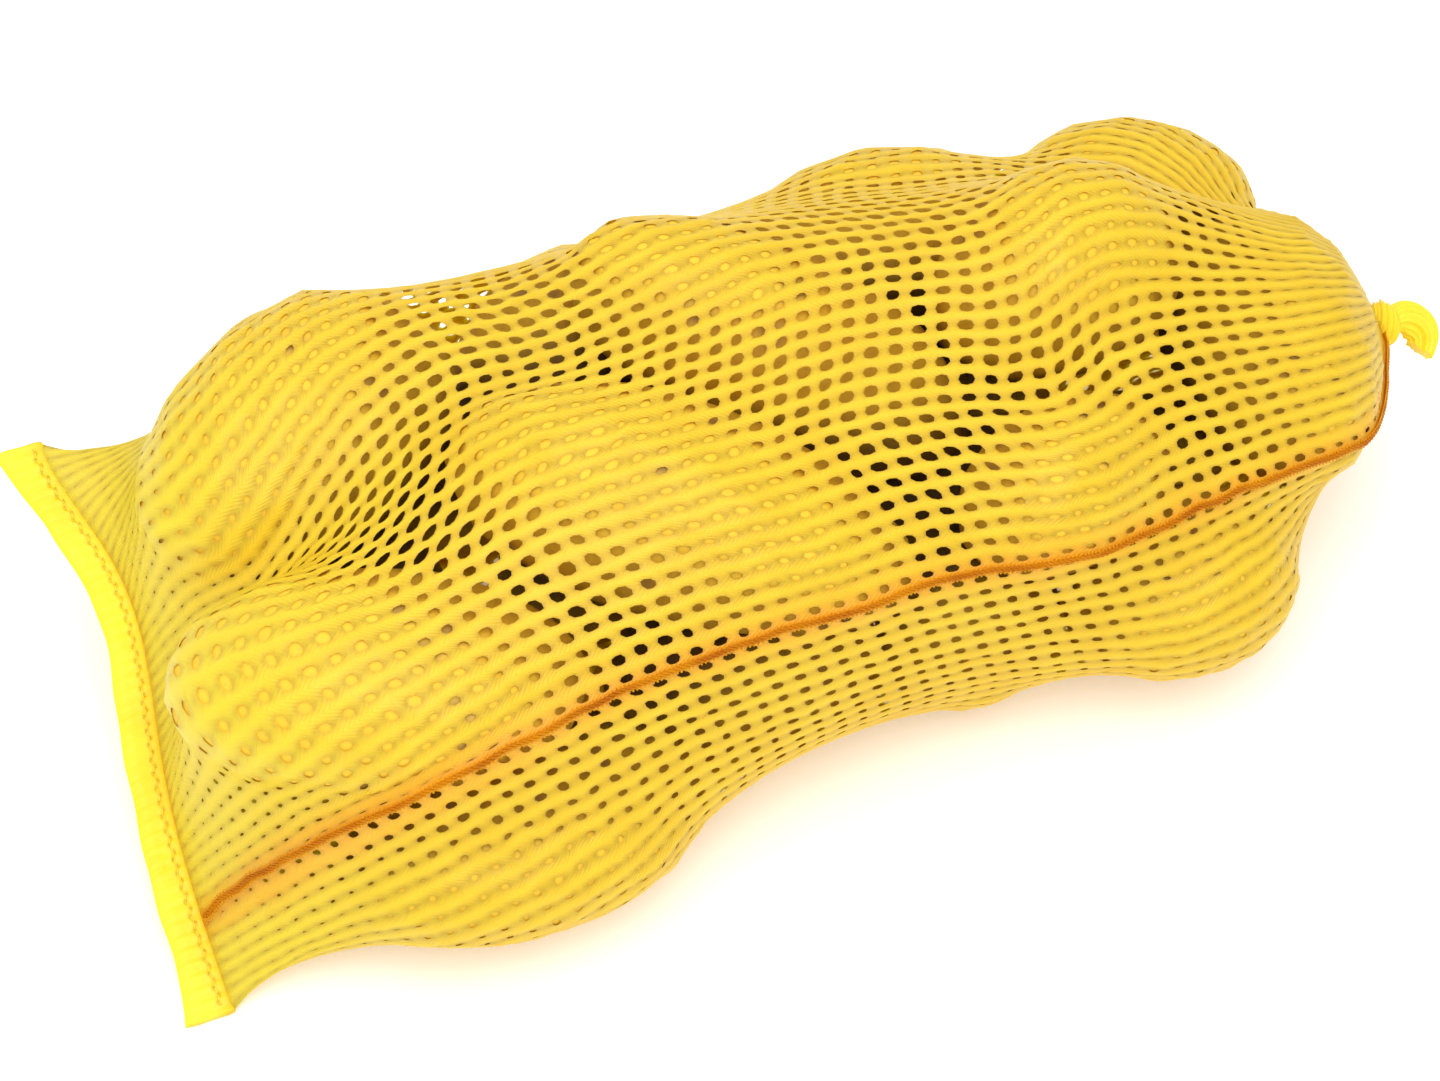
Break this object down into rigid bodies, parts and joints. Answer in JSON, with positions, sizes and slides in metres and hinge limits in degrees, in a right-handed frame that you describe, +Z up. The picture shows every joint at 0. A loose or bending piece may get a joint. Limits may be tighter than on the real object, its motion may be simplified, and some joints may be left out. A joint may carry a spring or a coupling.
{
  "type": "mesh produce bag filled with potatoes",
  "caption": "Knitted net sack of potatoes lying on its side, with a sewn bottom hem with two ears, a sewn side seam and a knotted mouth.",
  "frame": {"origin": "on the surface that the bag lies on, under the middle of its bounding box", "axes": "+X along the bag from the sewn hem to the knotted mouth, +Y towards the side away from the side seam, +Z up"},
  "size_m": [0.4282, 0.2108, 0.1287],
  "materials": {
    "net": "glossy knitted polyethylene tape, translucent yellow",
    "hem": "doubled and gathered yellow net, denser and brighter than the single net",
    "seam_thread": "orange overlock thread, matt",
    "potato_skin": "washed potato skin, matt with fine russet specks and shallow eyes"
  },
  "bodies": {
    "root": {"net_body": "net", "bottom_hem": "hem", "side_seam": "seam_thread", "mouth_knot": "hem", "mouth_tuft": "hem", "potato_far_hem": "potato_skin", "potato_far_second": "potato_skin", "potato_long_top": "potato_skin", "potato_cross_top": "potato_skin", "potato_far_middle": "potato_skin", "potato_top_mouth": "potato_skin", "potato_far_mouth": "potato_skin", "potato_mouth_end": "potato_skin", "potato_small_top": "potato_skin", "potato_near_mouth": "potato_skin", "potato_near_third": "potato_skin", "potato_near_second": "potato_skin", "potato_near_hem": "potato_skin", "potato_top_hem": "potato_skin", "potato_under_hem": "potato_skin", "potato_under_second": "potato_skin", "potato_under_third": "potato_skin", "potato_under_far": "potato_skin", "potato_under_mouth": "potato_skin", "potato_under_side": "potato_skin", "potato_under_neck": "potato_skin"}
  },
  "joints": []
}
